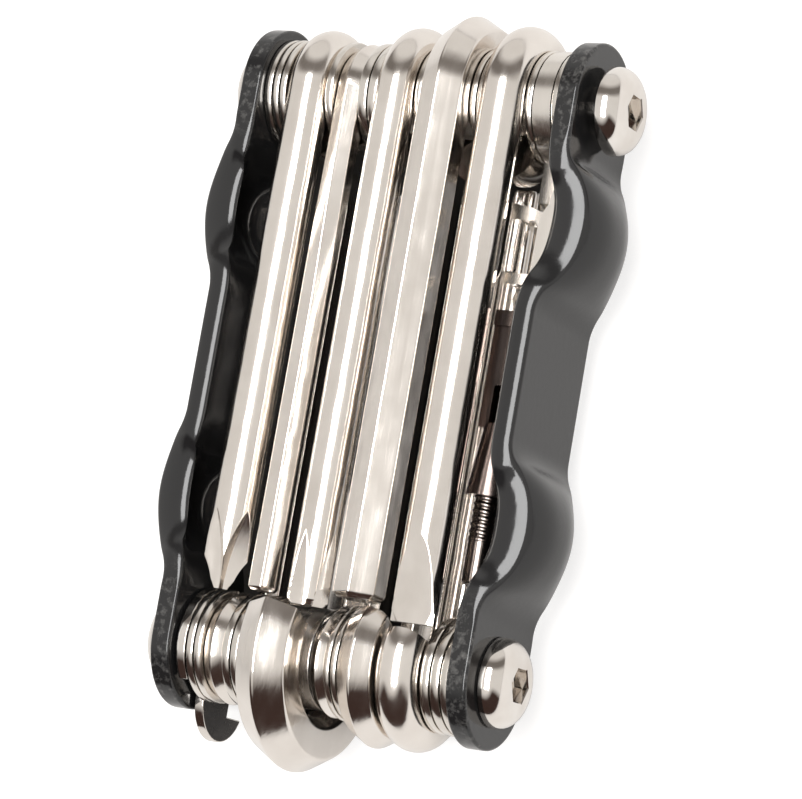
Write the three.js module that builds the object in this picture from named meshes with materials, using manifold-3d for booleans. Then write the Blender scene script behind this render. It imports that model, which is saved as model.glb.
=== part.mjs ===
// Folding bicycle multi-tool with a chain tool, in millimetres, +Z up.
//
// Two formed side plates are held apart by two pivot axles. Bent keys and drivers turn on the
// axles between washers: the front layer hangs from the upper axle, the back layer from the
// lower one, and the chain tool has the slot beside the right plate. X runs along the axles,
// Y along the tool towards the upper axle, and Z towards the front layer. The tool lies on its
// back, with the origin at the bottom centre of its box.

import * as THREE from 'three';
import { mergeVertices } from 'three/addons/utils/BufferGeometryUtils.js';
import Module from 'manifold-3d';

const wasm = await Module();
wasm.setup();

// ---------------------------------------------------------------- driving dimensions

const AXLE_SPAN = 62.7; // between the two pivot axles
const UPPER_AXLE_Y = AXLE_SPAN / 2;
const LOWER_AXLE_Y = -AXLE_SPAN / 2;

const PLATE_THICKNESS = 2.4;
const PLATE_END_RADIUS = 7.3; // also half the plate's depth along Z
const UPPER_HALF_WIDTH = 20.65; // middle plane to a plate's outer face, at the upper axle
const LOWER_HALF_WIDTH = 19.3; // the same at the lower axle
const UPPER_BULGE_Y = 16.9;
const LOWER_BULGE_Y = -15.7;
const BULGE_HEIGHT = 4.5;
const BULGE_RADIUS = 9;
const BULGE_FILLET = 3.5; // radius of the hollow at the foot of a bulge
const EDGE_BEVEL = 1.1; // how far the outer face falls at its long edges
const DOME_DROP = 2; // the same at the middle of a bulge, which is domed

const POST_RADIUS = 2.5;
const BORE_CLEARANCE = 0.1;
const BORE_RADIUS = POST_RADIUS + BORE_CLEARANCE;
const HEAD_RADIUS = 4.85;
const HEAD_HEIGHT = 2.75;
const HEAD_RIM = 0.6; // straight part of the head, below its dome
const HEAD_FLAT_RADIUS = 2.6;
const SOCKET_ACROSS_FLATS = 3.5;
const SOCKET_DEPTH = 1.7;
const SCREW_SHANK_RADIUS = 1.45;
const SCREW_SHANK_LENGTH = 12;
const TAPPED_HOLE_RADIUS = 1.6;
const TAPPED_HOLE_DEPTH = 14;
const POST_SHORTFALL = 0.4; // the lower post ends this far inside the plate's outer face
const POST_PROUD = 0.95; // the upper post stands this far out of the plate
const SEAT_GAP = 0.03; // between parts that are clamped face to face

const WASHER_RADIUS = 6.25;

const CHAIN_SCREW_X = 15.3; // the press screw's axis, beside the right plate
const CHAIN_SCREW_Z = 1;
const CHAIN_SCREW_RADIUS = 1.65;
const PRESS_PIN_RADIUS = 1.15;
const CHAIN_LEFT_X = 13.3; // the chain tool stays to the right of the tools in both layers
const CHAIN_HALF_DEPTH = 3.2; // half its depth along Z, between the two layers

// ---------------------------------------------------------------- finishes

const FINISHES = {
  gloss_black: { color: 0x0e0e0f, roughness: 0.28, metalness: 0.1 },
  nickel: { color: 0xcfc6bb, roughness: 0.26, metalness: 1 },
  bright_steel: { color: 0xd9d4cd, roughness: 0.18, metalness: 1 },
  dark_chrome: { color: 0x8a8480, roughness: 0.16, metalness: 1 },
};

const tool = new THREE.Group();

function addMesh(name, geometry, finish) {
  const mesh = new THREE.Mesh(geometry, new THREE.MeshStandardMaterial(FINISHES[finish]));
  mesh.name = name;
  tool.add(mesh);
  return mesh;
}

// ---------------------------------------------------------------- solids

function toSolid(geometry) {
  const bare = geometry.clone();
  bare.deleteAttribute('normal');
  bare.deleteAttribute('uv');
  const merged = mergeVertices(bare, 1e-4);
  return new wasm.Manifold(
    new wasm.Mesh({
      numProp: 3,
      vertProperties: new Float32Array(merged.attributes.position.array),
      triVerts: new Uint32Array(merged.index.array),
    }),
  );
}

function toGeometry(solid) {
  const mesh = solid.getMesh();
  const geometry = new THREE.BufferGeometry();
  geometry.setAttribute('position', new THREE.BufferAttribute(mesh.vertProperties, mesh.numProp));
  geometry.setIndex(new THREE.BufferAttribute(mesh.triVerts, 1));
  geometry.computeVertexNormals();
  return geometry;
}

function cut(solid, cutters) {
  return cutters.reduce((rest, cutter) => rest.subtract(toSolid(cutter)), solid);
}

function join(geometries) {
  return geometries.map(toSolid).reduce((whole, piece) => whole.add(piece));
}

// A turned solid about the X axis: profile points are [radius, x].
function turnedAboutX(profile, sides) {
  const points = profile.map(([radius, x]) => new THREE.Vector2(radius, x));
  return new THREE.LatheGeometry(points, sides).rotateZ(-Math.PI / 2);
}

function ring(innerRadius, outerRadius, fromX, toX, sides) {
  const profile = [
    [innerRadius, fromX],
    [outerRadius, fromX],
    [outerRadius, toX],
    [innerRadius, toX],
    [innerRadius, fromX],
  ];
  return turnedAboutX(profile, sides);
}

function cylinderAlongX(radius, fromX, toX, y, z, sides = 24) {
  const length = toX - fromX;
  const geometry = new THREE.CylinderGeometry(radius, radius, length, sides).rotateZ(Math.PI / 2);
  return geometry.translate((fromX + toX) / 2, y, z);
}

function cylinderAlongY(radius, fromY, toY, x, z, sides = 24) {
  const length = toY - fromY;
  return new THREE.CylinderGeometry(radius, radius, length, sides).translate(x, (fromY + toY) / 2, z);
}

function block(fromX, toX, fromY, toY, fromZ, toZ) {
  const geometry = new THREE.BoxGeometry(toX - fromX, toY - fromY, toZ - fromZ);
  return geometry.translate((fromX + toX) / 2, (fromY + toY) / 2, (fromZ + toZ) / 2);
}

// A hexagonal prism along X, with a corner towards +Z.
function hexPrismAlongX(acrossFlats, fromX, toX, y) {
  return cylinderAlongX(acrossFlats / Math.sqrt(3), fromX, toX, y, 0, 6);
}

// ---------------------------------------------------------------- side plates

// One bulge: a round crest that meets the plate's line in two hollow fillets.
const CREST_CENTRE = BULGE_HEIGHT - BULGE_RADIUS;
const BULGE_REACH = Math.sqrt((BULGE_RADIUS + BULGE_FILLET) ** 2 - (BULGE_FILLET - CREST_CENTRE) ** 2);
const CREST_REACH = (BULGE_REACH * BULGE_RADIUS) / (BULGE_RADIUS + BULGE_FILLET);

function bulgeAt(y) {
  const distance = Math.min(Math.abs(y - UPPER_BULGE_Y), Math.abs(y - LOWER_BULGE_Y));
  if (distance > BULGE_REACH) return 0;
  if (distance < CREST_REACH) return CREST_CENTRE + Math.sqrt(BULGE_RADIUS ** 2 - distance ** 2);
  return BULGE_FILLET - Math.sqrt(BULGE_FILLET ** 2 - (distance - BULGE_REACH) ** 2);
}

// The outer face without its bulges. The end pads and the waist are flat, and the plate steps
// outwards across each bulge.
function plateLine(y) {
  const stepAcross = (bulgeY) => {
    const share = (y - bulgeY + BULGE_REACH) / (2 * BULGE_REACH);
    return THREE.MathUtils.clamp(share, 0, 1);
  };
  const steps = (stepAcross(LOWER_BULGE_Y) + stepAcross(UPPER_BULGE_Y)) / 2;
  return THREE.MathUtils.lerp(LOWER_HALF_WIDTH, UPPER_HALF_WIDTH, steps);
}

// How far the outer face has fallen at a place across the plate, from -1 to 1.
function edgeDrop(across, bulge) {
  const bevelStart = 0.86;
  const bevel = EDGE_BEVEL * Math.max(0, (Math.abs(across) - bevelStart) / (1 - bevelStart));
  const dome = DOME_DROP * Math.abs(across) ** 2.4;
  return THREE.MathUtils.lerp(bevel, dome, bulge / BULGE_HEIGHT);
}

function outerPoint(y, across) {
  const bulge = bulgeAt(y);
  return new THREE.Vector2(plateLine(y) + bulge - edgeDrop(across, bulge), y);
}

// The inner face lies one thickness behind the outer one, square to it.
function innerPoint(y) {
  const reach = 0.05;
  const slope = outerPoint(y + reach, 0).sub(outerPoint(y - reach, 0)).normalize();
  const inwards = new THREE.Vector2(-slope.y, slope.x);
  return outerPoint(y, 0).addScaledVector(inwards, PLATE_THICKNESS);
}

// Places along the plate where its grid has a row: close together round the ends and bulges.
function plateRows() {
  const rows = [];
  const endSteps = 5;
  const lastAngle = THREE.MathUtils.degToRad(78);
  for (let step = 0; step <= endSteps; step += 1) {
    const angle = (lastAngle * step) / endSteps;
    const halfDepth = PLATE_END_RADIUS * Math.cos(angle);
    const reach = step === endSteps ? PLATE_END_RADIUS : PLATE_END_RADIUS * Math.sin(angle);
    rows.push({ y: UPPER_AXLE_Y + reach, halfDepth });
    rows.push({ y: LOWER_AXLE_Y - reach, halfDepth });
  }
  const bulgeSteps = 6;
  for (const centre of [LOWER_BULGE_Y, UPPER_BULGE_Y]) {
    for (let step = -bulgeSteps; step <= bulgeSteps; step += 1) {
      rows.push({ y: centre + (BULGE_REACH * step) / bulgeSteps, halfDepth: PLATE_END_RADIUS });
    }
  }
  return rows.sort((a, b) => a.y - b.y);
}

const PLATE_COLUMNS = [-1, -0.86, -0.5, 0, 0.5, 0.86, 1];

// side is 1 for the right plate and -1 for the left one, its mirror image.
function sidePlate(side) {
  const rows = plateRows();
  const geometry = new THREE.BoxGeometry(1, 1, 1, 1, rows.length - 1, PLATE_COLUMNS.length - 1);
  const position = geometry.attributes.position;
  for (let index = 0; index < position.count; index += 1) {
    const row = rows[Math.round((position.getY(index) + 0.5) * (rows.length - 1))];
    const across = PLATE_COLUMNS[Math.round((position.getZ(index) + 0.5) * (PLATE_COLUMNS.length - 1))];
    const isOuter = position.getX(index) * side > 0;
    const point = isOuter ? outerPoint(row.y, across) : innerPoint(row.y);
    position.setXYZ(index, point.x * side, point.y, across * row.halfDepth);
  }
  const bores = [UPPER_AXLE_Y, LOWER_AXLE_Y].map((y) => cylinderAlongX(BORE_RADIUS, -30, 30, y, 0));
  return toGeometry(cut(toSolid(geometry), bores));
}

addMesh('right_side_plate', sidePlate(1), 'gloss_black');
addMesh('left_side_plate', sidePlate(-1), 'gloss_black');

// ---------------------------------------------------------------- pivot posts and screws

// Profile of a button head whose seat is at seatX and whose top faces outwards along X.
function headProfile(seatX, outwards) {
  const points = [];
  const domeSteps = 4;
  for (let step = 0; step <= domeSteps; step += 1) {
    const angle = (Math.PI / 2) * (step / domeSteps);
    const radius = HEAD_FLAT_RADIUS + (HEAD_RADIUS - HEAD_FLAT_RADIUS) * Math.cos(angle);
    const height = HEAD_RIM + (HEAD_HEIGHT - HEAD_RIM) * Math.sin(angle);
    points.push([radius, seatX + outwards * height]);
  }
  return [[HEAD_RADIUS, seatX], ...points];
}

// A headed post from the left plate to the right one, bored and tapped at its right end.
function pivotPost(halfWidth, endX, y) {
  const seatX = -halfWidth - SEAT_GAP;
  const headTopX = seatX - HEAD_HEIGHT;
  const profile = [
    [0, headTopX],
    ...headProfile(seatX, -1).reverse(),
    [POST_RADIUS, seatX],
    [POST_RADIUS, endX],
    [TAPPED_HOLE_RADIUS, endX],
    [TAPPED_HOLE_RADIUS, endX - TAPPED_HOLE_DEPTH],
    [0, endX - TAPPED_HOLE_DEPTH],
  ];
  const socket = hexPrismAlongX(SOCKET_ACROSS_FLATS, headTopX - 1, headTopX + SOCKET_DEPTH, 0);
  return toGeometry(cut(toSolid(turnedAboutX(profile, 28)), [socket])).translate(0, y, 0);
}

function pivotScrew(seatX, y) {
  const headTopX = seatX + HEAD_HEIGHT;
  const shankEndX = seatX - SCREW_SHANK_LENGTH;
  const profile = [
    [0, shankEndX],
    [SCREW_SHANK_RADIUS, shankEndX],
    [SCREW_SHANK_RADIUS, seatX],
    ...headProfile(seatX, 1),
    [0, headTopX],
  ];
  const socket = hexPrismAlongX(SOCKET_ACROSS_FLATS, headTopX - SOCKET_DEPTH, headTopX + 1, 0);
  return toGeometry(cut(toSolid(turnedAboutX(profile, 28)), [socket])).translate(0, y, 0);
}

const UPPER_POST_END_X = UPPER_HALF_WIDTH + POST_PROUD;
const LOWER_POST_END_X = LOWER_HALF_WIDTH - POST_SHORTFALL;

addMesh('upper_pivot_post', pivotPost(UPPER_HALF_WIDTH, UPPER_POST_END_X, UPPER_AXLE_Y), 'bright_steel');
addMesh('lower_pivot_post', pivotPost(LOWER_HALF_WIDTH, LOWER_POST_END_X, LOWER_AXLE_Y), 'bright_steel');
addMesh('upper_pivot_screw', pivotScrew(UPPER_POST_END_X + SEAT_GAP, UPPER_AXLE_Y), 'bright_steel');
addMesh('lower_pivot_screw', pivotScrew(LOWER_HALF_WIDTH + SEAT_GAP, LOWER_AXLE_Y), 'bright_steel');

// ---------------------------------------------------------------- washers

// Each row is a washer's left and right face along the axle.
const UPPER_WASHERS = [
  [-18.2, -17.3], [-17.2, -16.4], [-16.3, -15.5],
  [-10.5, -9.6],
  [-6.35, -5.25], [-5.15, -4.05],
  [0.65, 1.45], [1.55, 2.32],
  [7.5, 8.2], [8.3, 8.98],
  [14.15, 14.95], [17.25, 18.15],
];
const LOWER_WASHERS = [
  [-15.4, -14.5], [-14.4, -13.55],
  [-10.85, -9.9], [-9.8, -8.85], [-8.75, -7.75], [-7.65, -6.6],
  [1.75, 2.45], [2.55, 3.25], [3.35, 4],
  [13.3, 14.4], [14.5, 15.6], [15.7, 16.8],
];

function addWashers(prefix, faces, y) {
  faces.forEach(([fromX, toX], index) => {
    const washer = ring(BORE_RADIUS, WASHER_RADIUS, fromX, toX, 20).translate(0, y, 0);
    addMesh(`${prefix}_washer_${index + 1}`, washer, 'nickel');
  });
}

addWashers('upper', UPPER_WASHERS, UPPER_AXLE_Y);
addWashers('lower', LOWER_WASHERS, LOWER_AXLE_Y);

// ---------------------------------------------------------------- bent keys and drivers

const BEND_STEP = THREE.MathUtils.degToRad(15);

// The centre line of a bent bar: a straight shank up to the eye, then round the axle. The eye's
// centre is the origin, the shank lies at z = bendRadius and its tip at y = -length.
class BarLine extends THREE.Curve {
  constructor(length, bendRadius, wrap) {
    super();
    this.length = length;
    this.bendRadius = bendRadius;
    this.wrap = wrap;
    this.bendSteps = Math.ceil(wrap / BEND_STEP);
  }

  get steps() {
    return this.bendSteps + 1;
  }

  angleAt(u) {
    return Math.max(0, ((u * this.steps - 1) / this.bendSteps) * this.wrap);
  }

  getPoint(u) {
    const shankLeft = Math.max(0, 1 - u * this.steps);
    const angle = this.angleAt(u);
    const y = this.bendRadius * Math.sin(angle) - this.length * shankLeft;
    return new THREE.Vector3(0, y, this.bendRadius * Math.cos(angle));
  }

  getTangent(u) {
    const angle = this.angleAt(u);
    return new THREE.Vector3(0, Math.cos(angle), -Math.sin(angle));
  }

  getPointAt(u) {
    return this.getPoint(u);
  }

  getTangentAt(u) {
    return this.getTangent(u);
  }
}

// A regular polygon whose first corner will point away from the axle.
function polygon(radius, sides) {
  const corners = [];
  for (let side = 0; side < sides; side += 1) {
    const angle = (side * 2 * Math.PI) / sides;
    corners.push(new THREE.Vector2(radius * Math.cos(angle), radius * Math.sin(angle)));
  }
  return new THREE.Shape(corners);
}

// A six-lobed star, for the star driver's tip.
function starShape(outerRadius, innerRadius) {
  const corners = [];
  const points = 24;
  for (let index = 0; index < points; index += 1) {
    const angle = (index * 2 * Math.PI) / points;
    const middle = (outerRadius + innerRadius) / 2;
    const radius = middle + ((outerRadius - innerRadius) / 2) * Math.cos(6 * angle);
    corners.push(new THREE.Vector2(radius * Math.cos(angle), radius * Math.sin(angle)));
  }
  return new THREE.Shape(corners);
}

const ROUND_SIDES = 12;

function bentBar(bar) {
  const line = new BarLine(bar.length, bar.bendRadius, THREE.MathUtils.degToRad(bar.wrap));
  const section = bar.hex ? polygon(bar.size / Math.sqrt(3), 6) : polygon(bar.size / 2, ROUND_SIDES);
  const options = { steps: line.steps, extrudePath: line, bevelEnabled: false };
  return new THREE.ExtrudeGeometry(section, options);
}

// Everything outside a cone at a bar's tip, so that cutting it away leaves the cone.
function coneCutter(bar, coneLength, tipRadius) {
  const outside = bar.size;
  const points = [
    new THREE.Vector2(tipRadius, -0.5),
    new THREE.Vector2(outside, -0.5),
    new THREE.Vector2(outside, coneLength),
    new THREE.Vector2(bar.size / 2 + 0.05, coneLength),
    new THREE.Vector2(tipRadius, 0),
    new THREE.Vector2(tipRadius, -0.5),
  ];
  return new THREE.LatheGeometry(points, 24).translate(0, -bar.length, bar.bendRadius);
}

// The four flutes of a cross-head tip: square bars, corner inwards, that run out up the shank.
function fluteCutters(bar, fluteLength, webRadius) {
  const width = bar.size;
  const wingAngle = THREE.MathUtils.degToRad(30);
  const slope = Math.atan2(bar.size / 2 - webRadius, fluteLength);
  const cutters = [];
  for (let quarter = 0; quarter < 4; quarter += 1) {
    const flute = new THREE.BoxGeometry(width, fluteLength * 2.4, width);
    flute.rotateY(Math.PI / 4).translate(0, 0, width / Math.SQRT2).rotateX(slope);
    flute.translate(0, 0, webRadius).rotateY(wingAngle + Math.PI / 4 + (quarter * Math.PI) / 2);
    cutters.push(flute.translate(0, -bar.length, bar.bendRadius));
  }
  return cutters;
}

// Two wedges that grind a round bar down to a flat blade facing the front and the back.
function bladeCutters(bar, bladeLength, tipThickness) {
  const depth = bar.size;
  const slope = Math.atan2((bar.size - tipThickness) / 2, bladeLength);
  return [1, -1].map((side) => {
    const wedge = new THREE.BoxGeometry(bar.size * 2, bladeLength * 2.2, depth);
    wedge.translate(0, 0, (side * depth) / 2).rotateX(side * slope);
    return wedge.translate(0, -bar.length, bar.bendRadius + (side * tipThickness) / 2);
  });
}

function crossHead(bar) {
  const cutters = [coneCutter(bar, bar.size * 0.62, bar.size * 0.14)];
  return cut(toSolid(bentBar(bar)), [...cutters, ...fluteCutters(bar, bar.size * 1.7, bar.size * 0.13)]);
}

function flatBlade(bar) {
  return cut(toSolid(bentBar(bar)), bladeCutters(bar, 9.5, 1));
}

// The star section takes over from the round bar for the last part of the shank.
function starTip(bar) {
  const tipLength = 9;
  const overlap = 1;
  const shank = { ...bar, length: bar.length - tipLength };
  const options = { depth: tipLength + overlap, bevelEnabled: false };
  const star = new THREE.ExtrudeGeometry(starShape(bar.size * 0.45, bar.size * 0.34), options);
  star.rotateX(Math.PI / 2).translate(0, -shank.length + overlap, bar.bendRadius);
  return toSolid(bentBar(shank)).add(toSolid(star));
}

// A hexagonal key with its corners bevelled at the tip.
function plainKey(bar) {
  return cut(toSolid(bentBar(bar)), [coneCutter(bar, bar.size * 0.16, bar.size * 0.44)]);
}

// x is the bar's middle, size its width across flats or its diameter, and length runs from the
// axle to the tip. eyeRadius is the inside radius of the eye, and wrap how far, in degrees, it
// goes round the axle. A tip stops short of the circle that the far eyes sweep.
const SNUG_EYE_RADIUS = BORE_RADIUS + 0.05;
const UPPER_TOOLS = [
  {
    name: 'cross_driver_large',
    shape: crossHead,
    x: -13, size: 4.8, eyeRadius: SNUG_EYE_RADIUS, wrap: 285, length: 56.95,
  },
  {
    name: 'hex_3mm_key',
    hex: true,
    x: -8, size: 3, eyeRadius: SNUG_EYE_RADIUS, wrap: 285, length: 56.6,
  },
  {
    name: 'cross_driver_small',
    shape: crossHead,
    x: -1.7, size: 4.5, eyeRadius: 3.65, wrap: 285, length: 51.2,
  },
  {
    name: 'hex_5mm_key',
    hex: true,
    x: 4.91, size: 5, eyeRadius: 3.96, wrap: 240, length: 55.1,
  },
  {
    name: 'slotted_driver',
    shape: flatBlade,
    x: 11.57, size: 5, eyeRadius: 3.77, wrap: 285, length: 56.2,
  },
];
const LOWER_TOOLS = [
  {
    name: 'hex_2_5mm_key',
    hex: true,
    x: -12.2, size: 2.5, eyeRadius: 3.36, wrap: 285, length: 55.3,
  },
  {
    name: 'hex_6mm_key',
    hex: true,
    x: -3.45, size: 6, eyeRadius: 5.6, wrap: 203, length: 54.25,
  },
  {
    name: 'hex_2mm_key',
    hex: true,
    x: 0.65, size: 2, eyeRadius: 3.8, wrap: 285, length: 54.7,
  },
  {
    name: 'hex_4mm_key',
    hex: true,
    x: 6.1, size: 4, eyeRadius: 4.1, wrap: 222, length: 53.6,
  },
  {
    name: 'star_driver',
    shape: starTip,
    x: 10.7, size: 4.9, eyeRadius: 3.6, wrap: 207, length: 54.4,
  },
];

function barSizes(bar) {
  const depth = bar.hex ? (2 * bar.size) / Math.sqrt(3) : bar.size;
  return { ...bar, bendRadius: bar.eyeRadius + depth / 2 };
}

// A spacer bush fills a wide eye, and turns on the post.
function eyeBush(bar) {
  const flatFactor = Math.cos(BEND_STEP / 2);
  const outerRadius = bar.eyeRadius * flatFactor - 0.05;
  return ring(BORE_RADIUS, outerRadius, bar.x - bar.size / 2, bar.x + bar.size / 2, 20);
}

function addTool(bar, axleY, turn) {
  const sized = barSizes(bar);
  const shape = bar.shape ?? plainKey;
  const mesh = addMesh(bar.name, toGeometry(shape(sized)), 'nickel');
  mesh.position.set(bar.x, axleY, 0);
  mesh.rotation.x = turn;
  if (bar.eyeRadius > SNUG_EYE_RADIUS) {
    addMesh(`${bar.name}_bush`, eyeBush(bar).translate(0, axleY, 0), 'bright_steel');
  }
}

UPPER_TOOLS.forEach((bar) => addTool(bar, UPPER_AXLE_Y, 0));
LOWER_TOOLS.forEach((bar) => addTool(bar, LOWER_AXLE_Y, Math.PI));

// ---------------------------------------------------------------- spoke key

// A flat stamped key beside the left plate. Its round tail reaches past the axle, with a slot for
// spoke nipples that opens towards the back.
function spokeKey() {
  const fromX = -16.6;
  const toX = -15.5;
  const tailY = -5.6;
  const tailZ = -4.4;
  const tailRadius = 4.6;
  const slotWidth = 3.3;
  const slotDepth = 3.4;
  const outline = new THREE.Shape();
  outline.absarc(tailZ, tailY, tailRadius, Math.PI, 2 * Math.PI);
  outline.lineTo(3.4, -3.6);
  outline.absarc(0, 0, WASHER_RADIUS, -0.8, Math.PI + 0.3);
  const options = { depth: toX - fromX, bevelEnabled: false, curveSegments: 10 };
  const plate = new THREE.ExtrudeGeometry(outline, options);
  plate.rotateY(-Math.PI / 2).translate(toX, 0, 0);
  const bore = cylinderAlongX(BORE_RADIUS, -30, 30, 0, 0);
  const slotZ = tailZ - tailRadius + slotDepth;
  const slot = block(-30, 30, tailY - slotWidth / 2, tailY + slotWidth / 2, slotZ - 10, slotZ);
  return toGeometry(cut(toSolid(plate), [bore, slot])).translate(0, LOWER_AXLE_Y, 0);
}

addMesh('spoke_key', spokeKey(), 'bright_steel');

// ---------------------------------------------------------------- chain tool

const CHAIN_LUG = [15.05, 17.15]; // the lug's faces along X
const CHAIN_LUG_RADIUS = 6.2;
const NECK_FRONT_Z = 0.8; // the neck below the lug is set back behind the cradle
const BACK_Z = -4.6;
const TEETH = [[11, 12.2], [6.4, 8.1]]; // the two teeth that the chain sits on, along Y
const SPINE_RIGHT_X = 17.2;
const BOSS_START_Y = -4.7;
const BOSS_END_Y = -12.1;
const SCREW_END_Y = -21.6;
const SCREW_TIP_Y = -7;
const PIN_END_Y = 8;
const PRESS_TRAVEL = 7;

// The cradle seen from the front: a far wall with a hollow top, and a leg that follows the plate.
function cradleOutline() {
  const corners = [
    [CHAIN_LEFT_X, 18.05], [CHAIN_LEFT_X, 19.8], [15.4, 19.5], [17, 19], [17.6, 20], [17.8, 21.5],
    [18.3, 20.2], [18.64, 18.4], [18.75, 16.6], [18.64, 14.8], [18.2, 12.5], [17.3, 10.7], [16.6, 10.7],
    [16.7, 17.4], [16.4, 17.9], [15.9, 18.05],
  ];
  return new THREE.Shape(corners.map(([x, y]) => new THREE.Vector2(x, y)));
}

function cradle() {
  const options = { depth: 2 * CHAIN_HALF_DEPTH, bevelEnabled: false };
  return new THREE.ExtrudeGeometry(cradleOutline(), options).translate(0, 0, -CHAIN_HALF_DEPTH);
}

// The boss widens towards its open end, and is cut flat towards the other tools.
function boss() {
  const startRadius = 1.85;
  const endRadius = 2.75;
  const startY = BOSS_START_Y + 0.5;
  const length = startY - BOSS_END_Y;
  const cone = new THREE.CylinderGeometry(startRadius, endRadius, length, 32);
  cone.translate(CHAIN_SCREW_X, BOSS_END_Y + length / 2, CHAIN_SCREW_Z);
  return cut(toSolid(cone), [block(0, CHAIN_LEFT_X, BOSS_END_Y - 1, startY + 1, -5, 5)]);
}

function alongPress(radius, fromY, toY, sides = 24) {
  return cylinderAlongY(radius, fromY, toY, CHAIN_SCREW_X, CHAIN_SCREW_Z, sides);
}

function chainToolBody() {
  const [lugLeft, lugRight] = CHAIN_LUG;
  const [farTooth, nearTooth] = TEETH;
  const toothDepth = 2.9;
  const body = join([
    cylinderAlongX(CHAIN_LUG_RADIUS, lugLeft, lugRight, UPPER_AXLE_Y, 0, 28),
    block(lugLeft, lugRight, 18.5, UPPER_AXLE_Y, BACK_Z, NECK_FRONT_Z),
    cradle(),
    ...TEETH.map(([from, to]) => block(CHAIN_LEFT_X, 16.7, from, to, -toothDepth, toothDepth)),
    block(16.2, SPINE_RIGHT_X, nearTooth[1] - 1, farTooth[1], -toothDepth, 2.2),
    block(CHAIN_LEFT_X, SPINE_RIGHT_X - 0.3, BOSS_START_Y, nearTooth[0] + 0.2, -2.2, 2.5),
  ]).add(boss());
  const clearance = 0.08;
  const pinBoreY = SCREW_TIP_Y + PRESS_TRAVEL;
  return toGeometry(
    cut(body, [
      cylinderAlongX(BORE_RADIUS, -30, 30, UPPER_AXLE_Y, 0),
      alongPress(CHAIN_SCREW_RADIUS + clearance, BOSS_END_Y - 1, pinBoreY),
      alongPress(PRESS_PIN_RADIUS + clearance, pinBoreY - 1, 20.5),
    ]),
  );
}

// The press screw turns in the body's thread and carries the press pin towards the far wall.
function chainToolScrew() {
  const socketRadius = 0.9;
  const socketDepth = 2.5;
  const socket = alongPress(socketRadius, SCREW_END_Y - 1, SCREW_END_Y + socketDepth, 6);
  return toGeometry(cut(toSolid(alongPress(CHAIN_SCREW_RADIUS, SCREW_END_Y, SCREW_TIP_Y)), [socket]));
}

addMesh('chain_tool_body', chainToolBody(), 'dark_chrome');
addMesh('chain_tool_screw', chainToolScrew(), 'dark_chrome');
addMesh('chain_tool_pin', alongPress(PRESS_PIN_RADIUS, SCREW_TIP_Y + SEAT_GAP, PIN_END_Y), 'bright_steel');

// ---------------------------------------------------------------- origin

tool.updateMatrixWorld(true);
const box = new THREE.Box3().setFromObject(tool, true);
tool.position.set(-(box.min.x + box.max.x) / 2, -(box.min.y + box.max.y) / 2, -box.min.z);

export default tool;
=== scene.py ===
"""Folding bicycle multi-tool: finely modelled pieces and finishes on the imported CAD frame.

Lengths are in metres. Places come from the CAD nodes' boxes, so each piece stands where its
node stands: X runs along the axles, Y along the tool and Z towards the front layer.
"""

from math import cos, hypot, pi, radians, sin, sqrt

import bmesh
import bpy
from mathutils import Matrix, Vector


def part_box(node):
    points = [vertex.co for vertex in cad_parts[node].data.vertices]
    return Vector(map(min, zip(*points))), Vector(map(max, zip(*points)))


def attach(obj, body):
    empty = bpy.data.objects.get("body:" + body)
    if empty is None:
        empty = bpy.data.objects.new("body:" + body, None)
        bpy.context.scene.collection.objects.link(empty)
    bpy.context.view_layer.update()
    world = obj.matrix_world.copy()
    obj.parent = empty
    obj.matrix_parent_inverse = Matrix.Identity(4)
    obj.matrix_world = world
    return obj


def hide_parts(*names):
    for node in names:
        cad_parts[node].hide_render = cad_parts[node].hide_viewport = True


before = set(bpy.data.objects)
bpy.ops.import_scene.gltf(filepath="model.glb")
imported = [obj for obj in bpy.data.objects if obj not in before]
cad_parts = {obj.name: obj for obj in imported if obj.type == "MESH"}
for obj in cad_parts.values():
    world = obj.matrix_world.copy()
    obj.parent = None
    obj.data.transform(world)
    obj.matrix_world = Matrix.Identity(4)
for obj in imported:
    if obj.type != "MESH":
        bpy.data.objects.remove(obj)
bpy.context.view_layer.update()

MM = 0.001


# ---------------------------------------------------------------- measures from the frame

def axle_point(node):
    """The middle of a round node that stands on an axle, as (y, z)."""
    low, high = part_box(node)
    return (low.y + high.y) / 2, (low.z + high.z) / 2


UPPER_AXLE = axle_point("upper_washer_1")
LOWER_AXLE = axle_point("lower_washer_1")


# ---------------------------------------------------------------- shader building

CRADLE_FOOT_Y = UPPER_AXLE[0] - 21 * MM  # the lower end of the chain tool's cradle
SHADE_FADE_LENGTH = 2 * MM  # below that, where its painted shade fades in from pale to dark

# How a noise is scaled along X, Y and Z.
EVEN = (1, 1, 1)
ALONG_Y = (1, 0.05, 1)  # streaks along the tool
ROUND_X = (1, 0.2, 0.2)  # streaks round the axles


def new_material(name):
    """A material with its nodes, its links and its shader."""
    material = bpy.data.materials.new(name)
    material.use_nodes = True
    nodes = material.node_tree.nodes
    return material, nodes, material.node_tree.links, nodes["Principled BSDF"]


def noise(nodes, links, coordinates, scale, detail=3.0, roughness=0.55):
    texture = nodes.new("ShaderNodeTexNoise")
    texture.inputs["Scale"].default_value = scale
    texture.inputs["Detail"].default_value = detail
    texture.inputs["Roughness"].default_value = roughness
    links.new(coordinates, texture.inputs["Vector"])
    return texture.outputs["Fac"]


def stretched_coordinates(nodes, links, stretch):
    """Object coordinates scaled along each axis, so that a noise becomes streaks."""
    position = nodes.new("ShaderNodeTexCoord")
    mapping = nodes.new("ShaderNodeMapping")
    mapping.inputs["Scale"].default_value = stretch
    links.new(position.outputs["Object"], mapping.inputs["Vector"])
    return mapping.outputs["Vector"]


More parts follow.
